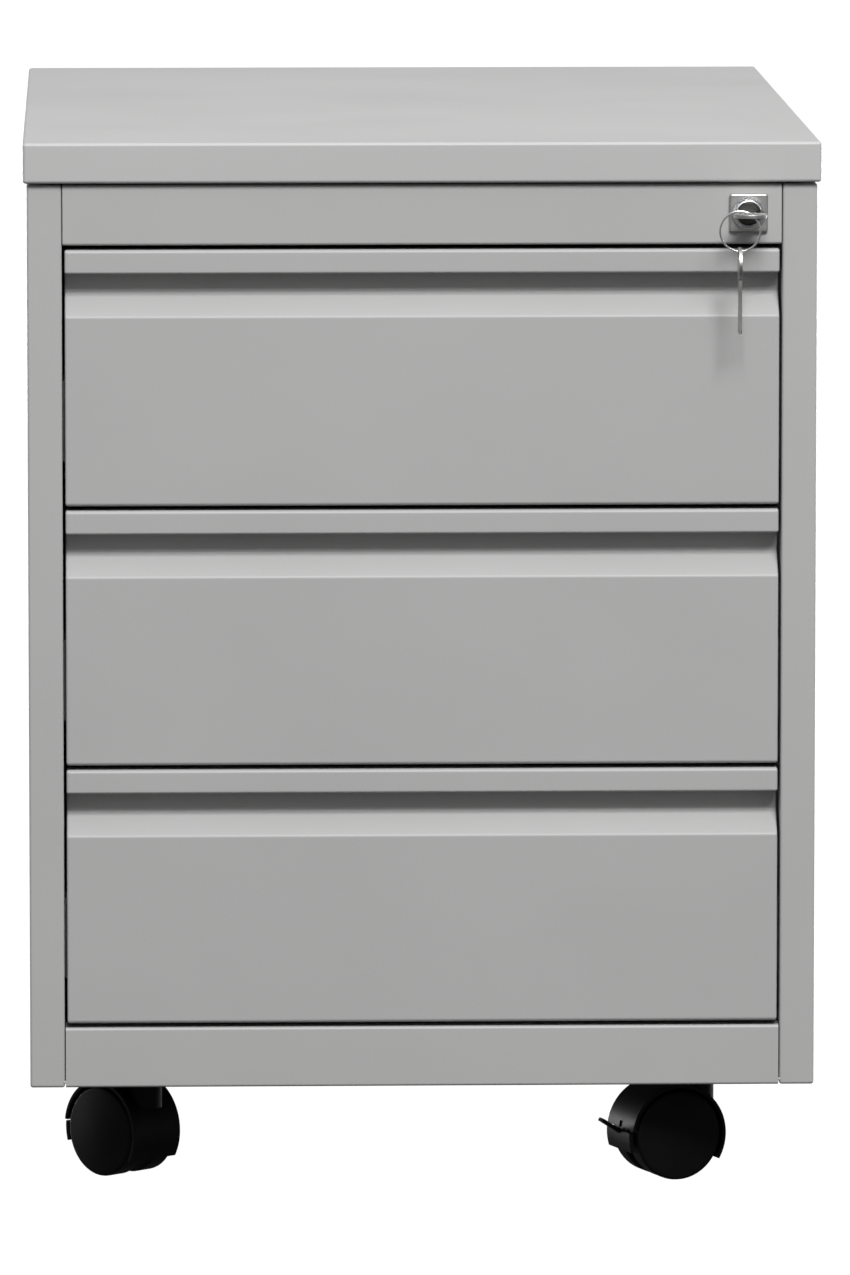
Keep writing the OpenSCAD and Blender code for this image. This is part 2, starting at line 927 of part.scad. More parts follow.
caster_hood(rr, false);  // caster_rr_hood
caster_wheel(rr, 1);  // caster_rr_wheel_a
caster_wheel(rr, -1);  // caster_rr_wheel_b
caster_pins(rr, false);  // caster_rr_pins
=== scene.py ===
import json
import math

import bmesh
import bpy
from mathutils import Matrix, Vector


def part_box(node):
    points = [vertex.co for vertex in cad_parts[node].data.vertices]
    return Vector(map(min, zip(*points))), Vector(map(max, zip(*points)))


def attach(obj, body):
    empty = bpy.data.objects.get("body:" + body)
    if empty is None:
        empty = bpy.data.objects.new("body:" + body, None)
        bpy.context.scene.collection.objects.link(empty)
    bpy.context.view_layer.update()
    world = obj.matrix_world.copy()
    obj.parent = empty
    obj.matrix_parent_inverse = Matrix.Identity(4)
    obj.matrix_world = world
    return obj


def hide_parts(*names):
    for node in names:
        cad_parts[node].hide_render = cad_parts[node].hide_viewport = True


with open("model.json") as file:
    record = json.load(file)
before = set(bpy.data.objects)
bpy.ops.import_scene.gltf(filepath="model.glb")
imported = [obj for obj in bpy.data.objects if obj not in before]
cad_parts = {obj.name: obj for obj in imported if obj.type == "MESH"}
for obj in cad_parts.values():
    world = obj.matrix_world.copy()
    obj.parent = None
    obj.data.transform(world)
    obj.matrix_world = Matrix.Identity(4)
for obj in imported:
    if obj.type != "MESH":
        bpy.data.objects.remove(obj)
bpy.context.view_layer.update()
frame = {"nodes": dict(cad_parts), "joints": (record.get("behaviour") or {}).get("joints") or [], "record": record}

nodes = frame["nodes"]
joints = {joint["name"]: joint for joint in frame["joints"]}
MM = 0.001

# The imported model's own places, which every piece is built from
side_low, side_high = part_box("side_panel_right")
FRONT_Y = side_low.y
BACK_Y = side_high.y
BASE_Z = side_low.z
TOP_Z = side_high.z
HALF_W = side_high.x
STILE_X = side_low.x
SHEET = 1.0 * MM
BEND = 1.5 * MM
TINY = 0.01 * MM
LOCK_AXIS = Vector(joints["lock_turn"]["pos_m"])
FACING_FRONT = Matrix(((1, 0, 0, 0), (0, 0, -1, 0), (0, 1, 0, 0), (0, 0, 0, 1)))


def at_lock(out):
    """Matrix whose XY plane faces the front on the lock's axis, a distance out from the rail."""
    return Matrix.Translation(LOCK_AXIS + Vector((0, -out, 0))) @ FACING_FRONT


# ---- Camera, lights and floor ----

def add_camera():
    """The camera at the photograph's viewing angle: far off, above the top and a little to the left."""
    distance = 5.7927
    eye = Vector((-0.1766, FRONT_Y - distance, TOP_Z + 0.4673))
    target = Vector((0.0014, FRONT_Y, TOP_Z - 0.248))
    data = bpy.data.cameras.new("camera")
    data.sensor_width = 36
    data.lens = 302
    data.clip_end = 100
    camera = bpy.data.objects.new("camera", data)
    camera.location = eye
    camera.rotation_euler = (target - eye).to_track_quat("-Z", "Y").to_euler()
    bpy.context.scene.collection.objects.link(camera)
    bpy.context.scene.camera = camera


def add_softbox(name, place, target, size, power):
    """Rectangular light at a place, aimed at a target. Size in metres, power in watts."""
    data = bpy.data.lights.new(name, "AREA")
    data.shape = "RECTANGLE"
    data.size, data.size_y = size
    data.energy = power
    light = bpy.data.objects.new(name, data)
    light.location = place
    light.rotation_euler = (Vector(target) - Vector(place)).to_track_quat("-Z", "Y").to_euler()
    bpy.context.scene.collection.objects.link(light)


def remap(tree, value, low, high, start=0.3, end=0.7):
    """Value that runs from low to high as another runs from start to end."""
    node = tree.nodes.new("ShaderNodeMapRange")
    node.inputs["From Min"].default_value = start
    node.inputs["From Max"].default_value = end
    node.inputs["To Min"].default_value = low
    node.inputs["To Max"].default_value = high
    tree.links.new(value, node.inputs["Value"])
    return node.outputs[0]


def gradient(tree, height, low, high):
    """Light that runs from low, some way below the horizon, to high overhead."""
    light = tree.nodes.new("ShaderNodeBackground")
    tree.links.new(remap(tree, height, low, high, -0.4, 0.9), light.inputs["Strength"])
    return light.outputs[0]


def add_world():
    """Soft light from all round, a darker room for polished metal to mirror, and a white background."""
    world = bpy.data.worlds.new("studio")
    bpy.context.scene.world = world
    world.use_nodes = True
    tree = world.node_tree
    tree.nodes.clear()
    coords = tree.nodes.new("ShaderNodeTexCoord")
    split = tree.nodes.new("ShaderNodeSeparateXYZ")
    white = tree.nodes.new("ShaderNodeBackground")
    white.inputs["Color"].default_value = (1, 1, 1, 1)
    path = tree.nodes.new("ShaderNodeLightPath")
    by_gloss = tree.nodes.new("ShaderNodeMixShader")
    by_camera = tree.nodes.new("ShaderNodeMixShader")
    out = tree.nodes.new("ShaderNodeOutputWorld")
    link = tree.links.new
    link(coords.outputs["Generated"], split.inputs[0])
    link(path.outputs["Is Glossy Ray"], by_gloss.inputs[0])
    link(gradient(tree, split.outputs["Z"], *SOFT_LIGHT), by_gloss.inputs[1])
    link(gradient(tree, split.outputs["Z"], *ROOM_LIGHT), by_gloss.inputs[2])
    link(path.outputs["Is Camera Ray"], by_camera.inputs[0])
    link(by_gloss.outputs[0], by_camera.inputs[1])
    link(white.outputs[0], by_camera.inputs[2])
    link(by_camera.outputs[0], out.inputs["Surface"])


def add_floor():
    """A plain white floor with hardly any shadow, which doesn't throw light back up."""
    mesh = bpy.data.meshes.new("floor")
    reach = 40
    corners = [(-reach, -reach, 0), (reach, -reach, 0), (reach, reach, 0), (-reach, reach, 0)]
    mesh.from_pydata(corners, [], [(0, 1, 2, 3)])
    floor = bpy.data.objects.new("floor", mesh)
    bpy.context.scene.collection.objects.link(floor)
    material = bpy.data.materials.new("floor_white")
    material.use_nodes = True
    shader = material.node_tree.nodes["Principled BSDF"]
    shader.inputs["Base Color"].default_value = (0.10, 0.10, 0.10, 1)
    shader.inputs["Roughness"].default_value = 0.9
    shader.inputs["Specular IOR Level"].default_value = 0.1
    shader.inputs["Emission Color"].default_value = (1, 1, 1, 1)
    shader.inputs["Emission Strength"].default_value = FLOOR_GLOW
    mesh.materials.append(material)
    floor.visible_diffuse = False
    floor.visible_glossy = False


# The surroundings' strength from below to overhead, as matt surfaces see it and as shiny ones do
SOFT_LIGHT = (0.10, 0.62)
ROOM_LIGHT = (0.09, 0.75)
FLOOR_GLOW = 1.0

bpy.context.scene.view_settings.view_transform = "Standard"
bpy.context.scene.view_settings.look = "None"
add_camera()
add_world()
add_floor()
add_softbox("key_softbox", (0.8, FRONT_Y - 3.9, 4.3), (0, FRONT_Y, 0.35), (2.6, 1.5), 330)
add_softbox("top_softbox", (0.3, 0.4, 3.2), (0, 0, 0.5), (2.6, 2.0), 16)

# Two fills for the back and the sides. They stay below the top, so that it doesn't mirror them.
FILL_AWAY = 2.6
FILL_Z = 0.29
for side, name in ((-1, "back_left_softbox"), (1, "back_right_softbox")):
    add_softbox(name, (side * FILL_AWAY, BACK_Y + FILL_AWAY, FILL_Z), (0, 0, FILL_Z), (2.4, 0.5), 75)


# ---- Materials ----

def new_material(name):
    """(material, its node tree, its Principled shader)"""
    material = bpy.data.materials.new(name)
    material.use_nodes = True
    tree = material.node_tree
    return material, tree, tree.nodes["Principled BSDF"]


def noise(tree, scale, detail=2.0, roughness=0.5, stretch=None):
    """Noise in the object's own space, scale in features per metre. stretch scales its three axes apart."""
    coords = tree.nodes.new("ShaderNodeTexCoord")
    node = tree.nodes.new("ShaderNodeTexNoise")
    node.inputs["Scale"].default_value = scale
    node.inputs["Detail"].default_value = detail
    node.inputs["Roughness"].default_value = roughness
    source = coords.outputs["Object"]
    if stretch:
        mapping = tree.nodes.new("ShaderNodeMapping")
        mapping.inputs["Scale"].default_value = stretch
        tree.links.new(source, mapping.inputs["Vector"])
        source = mapping.outputs[0]
    tree.links.new(source, node.inputs["Vector"])
    return node.outputs["Fac"]


def shade(tree, value, dark, light):
    """Colour that runs from dark to light as value runs from 0.3 to 0.7."""
    ramp = tree.nodes.new("ShaderNodeValToRGB")
    ramp.color_ramp.elements[0].position = 0.3
    ramp.color_ramp.elements[1].position = 0.7
    ramp.color_ramp.elements[0].color = (*dark, 1)
    ramp.color_ramp.elements[1].color = (*light, 1)
    tree.links.new(value, ramp.inputs[0])
    return ramp.outputs[0]


def bump(tree, shader, layers):
    """Stacks bump layers, each (height value, strength, distance in metres)."""
    last = None
    for value, strength, distance in layers:
        node = tree.nodes.new("ShaderNodeBump")
        node.inputs["Strength"].default_value = strength
        node.inputs["Distance"].default_value = distance
        tree.links.new(value, node.inputs["Height"])
        if last:
            tree.links.new(last, node.inputs["Normal"])
        last = node.outputs[0]
    tree.links.new(last, shader.inputs["Normal"])


def tint(colour, factor):
    """The colour made lighter or darker by a factor."""
    return tuple(channel * factor for channel in colour)


def powder_coat(name, colour, gloss=0.46):
    """Satin powder coat on sheet steel: fine orange peel, finer specks and a very slight cloudiness."""
    material, tree, shader = new_material(name)
    cloud = noise(tree, 9, 3)
    peel = noise(tree, 620, 1)
    speck = noise(tree, 2600, 1)
    tree.links.new(shade(tree, cloud, tint(colour, 0.985), tint(colour, 1.015)), shader.inputs["Base Color"])
    tree.links.new(remap(tree, cloud, gloss - 0.03, gloss + 0.03), shader.inputs["Roughness"])
    shader.inputs["Specular IOR Level"].default_value = 0.4
    bump(tree, shader, [(peel, 0.10, 0.35 * MM), (speck, 0.12, 0.1 * MM)])
    return material


def plated_metal(name, colour, roughness):
    """Nickel-chrome plate with light wear."""
    material, tree, shader = new_material(name)
    wear = noise(tree, 900, 3)
    shader.inputs["Metallic"].default_value = 1.0
    tree.links.new(shade(tree, wear, tint(colour, 0.93), colour), shader.inputs["Base Color"])
    tree.links.new(remap(tree, wear, roughness, roughness + 0.10), shader.inputs["Roughness"])
    bump(tree, shader, [(noise(tree, 3500, 2), 0.05, 0.05 * MM)])
    return material


def zinc_plate(name):
    """Bright zinc on rolled steel: faint rolling lines and soft patches."""
    material, tree, shader = new_material(name)
    patches = noise(tree, 60, 4, 0.6)
    lines = noise(tree, 1, 4, 0.6, stretch=(900, 12, 900))
    shader.inputs["Metallic"].default_value = 1.0
    tree.links.new(shade(tree, patches, (0.46, 0.47, 0.49), (0.62, 0.64, 0.66)), shader.inputs["Base Color"])
    tree.links.new(remap(tree, lines, 0.26, 0.44), shader.inputs["Roughness"])
    bump(tree, shader, [(lines, 0.12, 0.1 * MM)])
    return material


def moulded_plastic(name, colour, roughness, shine=0.5):
    """Moulded nylon with a fine spark-eroded grain. shine is how strongly its surface reflects."""
    material, tree, shader = new_material(name)
    shader.inputs["Specular IOR Level"].default_value = shine
    speck = noise(tree, 1500, 3, 0.65)
    smear = noise(tree, 45, 3)
    tree.links.new(shade(tree, smear, tint(colour, 0.8), tint(colour, 1.25)), shader.inputs["Base Color"])
    tree.links.new(remap(tree, speck, roughness - 0.06, roughness + 0.08), shader.inputs["Roughness"])
    bump(tree, shader, [(speck, 0.22, 0.12 * MM)])
    return material


MATERIALS = {
    # cover_paint is the body's grey powder coat made lighter: a painted highlight standing in for the stronger
    # light on the top.
    "cover_paint": powder_coat("cover_paint", (0.47, 0.47, 0.468)),
    "body_paint": powder_coat("body_paint", (0.43, 0.43, 0.427)),
    "front_paint": powder_coat("front_paint", (0.42, 0.42, 0.418)),
    "inner_paint": powder_coat("inner_paint", (0.36, 0.36, 0.36), 0.5),
    "zinc_steel": zinc_plate("zinc_steel"),
    "chrome": plated_metal("chrome", (0.82, 0.83, 0.84), 0.14),
    "satin_nickel": plated_metal("satin_nickel", (0.52, 0.52, 0.51), 0.36),
    "key_steel": plated_metal("key_steel", (0.60, 0.60, 0.59), 0.33),
    # The plug's metal is near-black: painted shade standing in for the dark face of the cylinder.
    "painted_shade_plug_metal": plated_metal("painted_shade_plug_metal", (0.085, 0.083, 0.08), 0.34),
    "steel_balls": plated_metal("steel_balls", (0.55, 0.56, 0.58), 0.16),
    "nylon": moulded_plastic("nylon", (0.72, 0.70, 0.62), 0.45),
    "caster_plastic": moulded_plastic("caster_plastic", (0.0018, 0.0018, 0.0018), 0.42, 0.13),
    "caster_wheel": moulded_plastic("caster_wheel", (0.0035, 0.0035, 0.0035), 0.50, 0.12),
}
SLOTS = {entry["node"]: entry["material_slot"] for entry in frame["record"]["subparts"]}
BODIES = frame["record"]["behaviour"]["bodies"]
BODY_OF = {node: body for body, members in BODIES.items() for node in members}


# ---- Mesh helpers ----

def keep_flat_faces_flat(piece):
    """Lets large faces set the shading, so that only the bends and rounded edges look curved."""
    normals = piece.modifiers.new("normals", "WEIGHTED_NORMAL")
    normals.keep_sharp = True


def finish_piece(name, bm, stands_for, material=None, smooth_angle=35):
    """Makes a bmesh the piece that stands for CAD nodes, on their body and with their finish or another."""
    bmesh.ops.recalc_face_normals(bm, faces=bm.faces)
    mesh = mesh_from(bm, name, smooth_angle)
    piece = bpy.data.objects.new(name, mesh)
    bpy.context.scene.collection.objects.link(piece)
    slot = SLOTS[stands_for[0]]
    mesh.materials.append(MATERIALS[material or slot])
    keep_flat_faces_flat(piece)
    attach(piece, BODY_OF[stands_for[0]])
    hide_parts(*stands_for)
    return piece


def mesh_from(bm, name, smooth_angle=35):
    """A mesh from a bmesh, which is freed. It's smooth but for the edges over the angle."""
    for edge in bm.edges:
        edge.smooth = len(edge.link_faces) != 2 or edge.calc_face_angle(0) < math.radians(smooth_angle)
    for face in bm.faces:
        face.smooth = True
    mesh = bpy.data.meshes.new(name)
    bm.to_mesh(mesh)
    bm.free()
    return mesh


def with_modifier(bm, kind, **settings):
    """The bmesh after one modifier of that kind."""
    carrier = bpy.data.objects.new("carrier", mesh_from(bm, "carrier"))
    bpy.context.scene.collection.objects.link(carrier)
    modifier = carrier.modifiers.new("step", kind)
    for key, value in settings.items():
        setattr(modifier, key, value)
    return bmesh_of(carrier)


def bmesh_of(carrier):
    """The evaluated mesh of a helper object, which is removed."""
    graph = bpy.context.evaluated_depsgraph_get()
    mesh = bpy.data.meshes.new_from_object(carrier.evaluated_get(graph))
    bpy.data.objects.remove(carrier)
    bm = bmesh.new()
    bm.from_mesh(mesh)
    bpy.data.meshes.remove(mesh)
    return bm


def bend_path(corners, steps=4):
    """Points of an open 2-D path through corners (u, v, bend radius), with an arc at each bend."""
    points = []
    for k, (u, v, radius) in enumerate(corners):
        here = Vector((u, v))
        if radius <= 0 or k in (0, len(corners) - 1):
            points.append(here)
            continue
        back = (Vector(corners[k - 1][:2]) - here).normalized()
        ahead = (Vector(corners[k + 1][:2]) - here).normalized()
        half = math.acos(max(-1, min(1, back.dot(ahead)))) / 2
        centre = here + (back + ahead).normalized() * (radius / math.sin(half))
        first = here + back * (radius / math.tan(half)) - centre
        last = here + ahead * (radius / math.tan(half)) - centre
        start = math.atan2(first.y, first.x)
        turn = (math.atan2(last.y, last.x) - start + math.pi) % (2 * math.pi) - math.pi
        for step in range(steps + 1):
            angle = start + turn * step / steps
            points.append(centre + radius * Vector((math.cos(angle), math.sin(angle))))
    return points


def offset_path(points, distance):
    """The open path moved to its left by a distance, with mitred corners."""
    moved = []
    for k, point in enumerate(points):
        normals = []
        for a, b in ((k - 1, k), (k, k + 1)):
            if a >= 0 and b < len(points):
                along = (points[b] - points[a]).normalized()
                normals.append(Vector((-along.y, along.x)))
        mean = sum(normals, Vector((0, 0))).normalized()
        moved.append(point + mean * (distance / mean.dot(normals[0])))
    return moved


def square_ends(start, stop):
    """Stations of a skin that is cut off square."""
    return [(start, 0.0), (stop, 0.0)]


def round_ends(start, stop, radius, steps=4):
    """Stations (place along, distance inward) of a skin whose ends are rounded over."""
    quarter = [math.pi / 2 * k / steps for k in range(steps + 1)]
    curve = [(radius * (1 - math.sin(a)), radius * (1 - math.cos(a))) for a in quarter]
    first = [(start + along, inward) for along, inward in reversed(curve)]
    last = [(stop - along, inward) for along, inward in curve]
    return first + last


def bent_sheet(path, place, stations, thickness, caps=False):
    """bmesh of sheet bent along a 2-D path and run along the third direction, through its stations.
    place(u, v, w) gives the point. The sheet lies on the left of the path. caps closes both ends."""
    bm = bmesh.new()
    rings = [[bm.verts.new(place(p.x, p.y, along)) for p in offset_path(path, inward)]
             for along, inward in stations]
    skin = [bm.faces.new((a[k], a[k + 1], b[k + 1], b[k]))
            for a, b in zip(rings, rings[1:]) for k in range(len(a) - 1)]
    if caps:
        bm.faces.new(rings[0])
        bm.faces.new(rings[-1])
    bmesh.ops.recalc_face_normals(bm, faces=bm.faces)
    outer = path[0]
    inner = offset_path(path, thickness)[0]
    start = stations[0][0]
    to_inside = place(inner.x, inner.y, start) - place(outer.x, outer.y, start)
    if skin[0].normal.dot(to_inside) > 0:
        bmesh.ops.reverse_faces(bm, faces=bm.faces)
    return with_modifier(bm, "SOLIDIFY", thickness=thickness, offset=-1, use_even_offset=True)


def add_box(bm, low, high, bevel=0.0):
    """Adds a box between two corners, with bevelled edges if a bevel is given."""
    size = Vector(high) - Vector(low)
    centre = (Vector(high) + Vector(low)) / 2
    place = Matrix.Translation(centre) @ Matrix.Diagonal((*size, 1))
    made = bmesh.ops.create_cube(bm, size=1.0, matrix=place)
    if bevel:
        edges = {edge for vert in made["verts"] for edge in vert.link_edges}
        bmesh.ops.bevel(bm, geom=list(edges), offset=bevel, segments=2, profile=0.5, affect="EDGES")


def add_lathe(bm, profile, matrix, steps=64):
    """Adds a solid of revolution about the matrix's Z axis: profile is a list of (radius, height)."""
    angles = [2 * math.pi * k / steps for k in range(steps)]
    rings = []
    for radius, height in profile:
        around = angles if radius > 0 else angles[:1]
        rings.append([bm.verts.new(matrix @ Vector((radius * math.cos(a), radius * math.sin(a), height)))
                      for a in around])
    for a, b in zip(rings, rings[1:]):
        for k in range(steps):
            m = (k + 1) % steps
            if len(a) == 1:
                bm.faces.new((a[0], b[m], b[k]))
            elif len(b) == 1:
                bm.faces.new((a[k], a[m], b[0]))
            else:
                bm.faces.new((a[k], a[m], b[m], b[k]))


def circle(radius, centre=(0, 0), start=0, stop=360, steps=48):
    """Points of an arc in degrees. A full circle doesn't repeat its first point."""
    count = steps if abs(stop - start) >= 360 else steps + 1
    angles = [math.radians(start + (stop - start) * k / steps) for k in range(count)]
    return [(centre[0] + radius * math.cos(a), centre[1] + radius * math.sin(a)) for a in angles]


def round_rectangle(width, height, radius):
    """Points of a rectangle about the origin, with round corners."""
    points = []
    for x, y, start in ((1, 1, 0), (-1, 1, 90), (-1, -1, 180), (1, -1, 270)):
        points += circle(radius, (x * (width / 2 - radius), y * (height / 2 - radius)), start, start + 90, 8)
    return points


def flat_part(outlines, thickness, bevel, matrix):
    """bmesh of a flat part in the matrix's XY plane, half of its thickness on each side. The first outline
    is the outside and the others are holes. Its edges are rounded."""
    curve = bpy.data.curves.new("outline", "CURVE")
    curve.dimensions = "2D"
    curve.fill_mode = "BOTH"
    curve.extrude = thickness / 2 - bevel
    curve.bevel_depth = bevel
    curve.bevel_resolution = 2
    curve.offset = -bevel
    for outline in outlines:
        spline = curve.splines.new("POLY")
        spline.points.add(len(outline) - 1)
        for point, (x, y) in zip(spline.points, outline):
            point.co = (x, y, 0, 1)
        spline.use_cyclic_u = True
    carrier = bpy.data.objects.new("outline", curve)
    bpy.context.scene.collection.objects.link(carrier)
    bm = bmesh_of(carrier)
    bmesh.ops.remove_doubles(bm, verts=bm.verts, dist=TINY / 2)
    bm.transform(matrix)
    return bm


def merge(target, source):
    """Adds one bmesh to another and frees it."""
    mesh = bpy.data.meshes.new("part")
    source.to_mesh(mesh)
    source.free()
    target.from_mesh(mesh)
    bpy.data.meshes.remove(mesh)


def soften(node, width, segments=3, angle=30):
    """Rounds the edges of a CAD node that stays, and gives it its finish."""
    piece = nodes[node]
    piece.data.materials.clear()
    piece.data.materials.append(MATERIALS[SLOTS[node]])
    for polygon in piece.data.polygons:
        polygon.use_smooth = True
    weld = piece.modifiers.new("weld", "WELD")
    weld.merge_threshold = TINY
    flat = piece.modifiers.new("flat", "DECIMATE")
    flat.decimate_type = "DISSOLVE"
    flat.angle_limit = math.radians(2)
    bevel = piece.modifiers.new("bevel", "BEVEL")
    bevel.width = width
    bevel.segments = segments
    bevel.limit_method = "ANGLE"
    bevel.angle_limit = math.radians(angle)
    keep_flat_faces_flat(piece)


# ---- Top cover ----

def build_cover():
    """Steel pan with rounded bends, turned in along its lower edge."""
    low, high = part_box("top_cover")
    bend = 1.8 * MM
    lip = 12 * MM
    bm = bmesh.new()
    add_box(bm, low, high)
    bmesh.ops.bevel(bm, geom=list(bm.edges), offset=bend, segments=4, profile=0.5, affect="EDGES")
    under = max((face for face in bm.faces if face.normal.z < -0.99), key=lambda face: face.calc_area())
    bmesh.ops.inset_region(bm, faces=[under], thickness=lip - bend)
    bmesh.ops.delete(bm, geom=[under], context="FACES")
    finish_piece("cover_pan", with_modifier(bm, "SOLIDIFY", thickness=SHEET, offset=-1), ["top_cover"])


# ---- Carcass ----

def build_side(side, node):
    """Side panel with its stile, bent from one sheet, and its turned-in top and bottom flanges."""
    lap = 12 * MM
    stile_return = 15 * MM
    path = bend_path([
        (STILE_X, FRONT_Y + stile_return, 0),
        (STILE_X, FRONT_Y, BEND),
        (HALF_W, FRONT_Y, BEND),
        (HALF_W, BACK_Y, BEND),
        (HALF_W - lap, BACK_Y, 0),
    ])
    ends = round_ends(BASE_Z, TOP_Z, BEND)
    bm = bent_sheet(path, lambda x, y, z: Vector((side * x, y, z)), ends, SHEET)
    for z in (BASE_Z, TOP_Z - SHEET):
        x0, x1 = sorted((side * (HALF_W - lap), side * (HALF_W - BEND)))
        add_box(bm, (x0, FRONT_Y + BEND, z), (x1, BACK_Y - BEND, z + SHEET))
    finish_piece(node.replace("panel", "sheet"), bm, [node])


def rail_sheet(node, deep_flange_on_top):
    """Channel between the stiles. The deeper flange laps the panel behind it."""
    low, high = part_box(node)
    seam = 0.5 * MM
    short = low.y + 20 * MM
    top_y, bottom_y = (high.y, short) if deep_flange_on_top else (short, high.y)
    path = bend_path([
        (top_y, high.z, 0),
        (low.y, high.z, BEND),
        (low.y, low.z, BEND),
        (bottom_y, low.z, 0),
    ])
    ends = square_ends(low.x + seam, high.x - seam)
    return bent_sheet(path, lambda y, z, x: Vector((x, y, z)), ends, SHEET)


def add_seam_weld(bm, x, z):
    """Small flat bead of weld across the seam between a rail and a stile."""
    add_lathe(bm, [(0, 0.25 * MM), (0.5 * MM, 0.2 * MM), (0.9 * MM, 0), (0, -SHEET / 2)],
              Matrix.Translation((x, FRONT_Y, z)) @ FACING_FRONT, 20)


def build_rails():
    """Bottom rail with its weld beads, and top rail with the lock's hole."""
    bm = rail_sheet("bottom_rail", False)
    for x in (-STILE_X, STILE_X):
        add_seam_weld(bm, x, BASE_Z + 3 * MM)
    finish_piece("bottom_rail_sheet", bm, ["bottom_rail"])

    hole_r = 8 * MM
    reach = 2 * SHEET
    hole = bmesh.new()
    add_lathe(hole, [(0, -reach), (hole_r, -reach), (hole_r, reach), (0, reach)], at_lock(0), 48)
    bmesh.ops.recalc_face_normals(hole, faces=hole.faces)
    cutter = bpy.data.objects.new("cutter", mesh_from(hole, "cutter"))
    bpy.context.scene.collection.objects.link(cutter)
    bm = with_modifier(rail_sheet("top_rail", True), "BOOLEAN", object=cutter, operation="DIFFERENCE")
    bpy.data.objects.remove(cutter)
    finish_piece("top_rail_sheet", bm, ["top_rail"])


# ---- Drawers ----

def build_drawer_front(i):
    """Front formed from one sheet, with the lip, the recess and the ramp of its finger pull."""
    node = f"drawer_{i}_front"
    low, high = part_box(node)
    lip_z = high.z - 13 * MM
    pull_z = lip_z - 11.5 * MM
    ramp_z = pull_z - 12 * MM
    pull_y = low.y + 13 * MM
    path = bend_path([
        (high.y, high.z, 0),
        (low.y, high.z, 2.0 * MM),
        (low.y, lip_z, 1.3 * MM),
        (pull_y, lip_z, 1.2 * MM),
        (pull_y, pull_z, 1.5 * MM),
        (low.y, ramp_z, 2.5 * MM),
        (low.y, low.z, 2.0 * MM),
        (high.y, low.z, 0),
    ], 6)
    ends = round_ends(low.x, high.x, 1.2 * MM)
    bm = bent_sheet(path, lambda y, z, x: Vector((x, y, z)), ends, 0.9 * MM, True)
    finish_piece(f"drawer_{i}_face", bm, [node])


def build_tray(i):
    """Tray folded from one sheet with rolled hems, its front and back walls and its lock catch."""
    node = f"drawer_{i}_tray"
    low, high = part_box(node)
    wall = STILE_X - 13 * MM
    thin = 0.8 * MM
    hem_x = wall + 2.5 * MM - thin
    hem_z = high.z - 2.2 * MM
    path = bend_path([
        (-hem_x, hem_z, 0),
        (-hem_x, high.z - thin, 0.6 * MM),
        (-wall, high.z - thin, 0.8 * MM),
        (-wall, low.z, 2.0 * MM),
        (wall, low.z, 2.0 * MM),
        (wall, high.z - thin, 0.8 * MM),
        (hem_x, high.z - thin, 0.6 * MM),
        (hem_x, hem_z, 0),
    ])
    bm = bent_sheet(path, lambda x, z, y: Vector((x, y, z)), square_ends(low.y, high.y), thin)
    inner = wall - thin
    fold = 8 * MM
    for y, turn in ((low.y, 1), (high.y, -1)):
        y0, y1 = sorted((y, y + turn * SHEET))
        add_box(bm, (-inner, y0, low.z + thin), (inner, y1, high.z - thin), 0.2 * MM)
        y0, y1 = sorted((y + turn * SHEET, y + turn * fold))
        add_box(bm, (-inner, y0, high.z - thin - SHEET), (inner, y1, high.z - thin), 0.2 * MM)
    catch = 8 * MM
    catch_y = FRONT_Y + 35 * MM
    catch_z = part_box(f"drawer_{i}_front")[0].z + 84 * MM
    add_box(bm, (wall, catch_y, catch_z), (high.x, catch_y + catch, catch_z + catch), 0.6 * MM)
    finish_piece(f"drawer_{i}_pan", bm, [node])


# ---- Slides ----

def add_member(bm, side, z, y0, y1, web, lip, half):
    """Slide member rolled to a lipped channel, which reaches a half height above and below z.
    web and lip are distances in from the stiles' inner edge."""
    bend = 1.5 * MM
    corners = [(lip, half, 0), (web, half, bend), (web, -half, bend), (lip, -half, 0)]
    if lip < web:
        corners.reverse()
    merge(bm, bent_sheet(bend_path(corners, 3), lambda u, v, y: Vector((side * (STILE_X - u), y, z + v)),
                         square_ends(y0, y1), 1.2 * MM))


def add_balls(bm, side, z, y0, y1, u, height):
    """Ball cages of the races above and below z: strips with a row of balls in each."""
    radius = 1.9 * MM
    pitch = 6 * MM
    half_w = 2.1 * MM
    half_t = 0.35 * MM
    x = side * (STILE_X - u)
    count = int((y1 - y0) / pitch)
    for level in (z - height, z + height):
        add_box(bm, (x - half_w, y0, level - half_t), (x + half_w, y1, level + half_t), 0.1 * MM)
        for k in range(count):
            place = Matrix.Translation((x, y0 + (k + 0.5) * pitch, level))
            bmesh.ops.create_icosphere(bm, subdivisions=2, radius=radius, matrix=place)


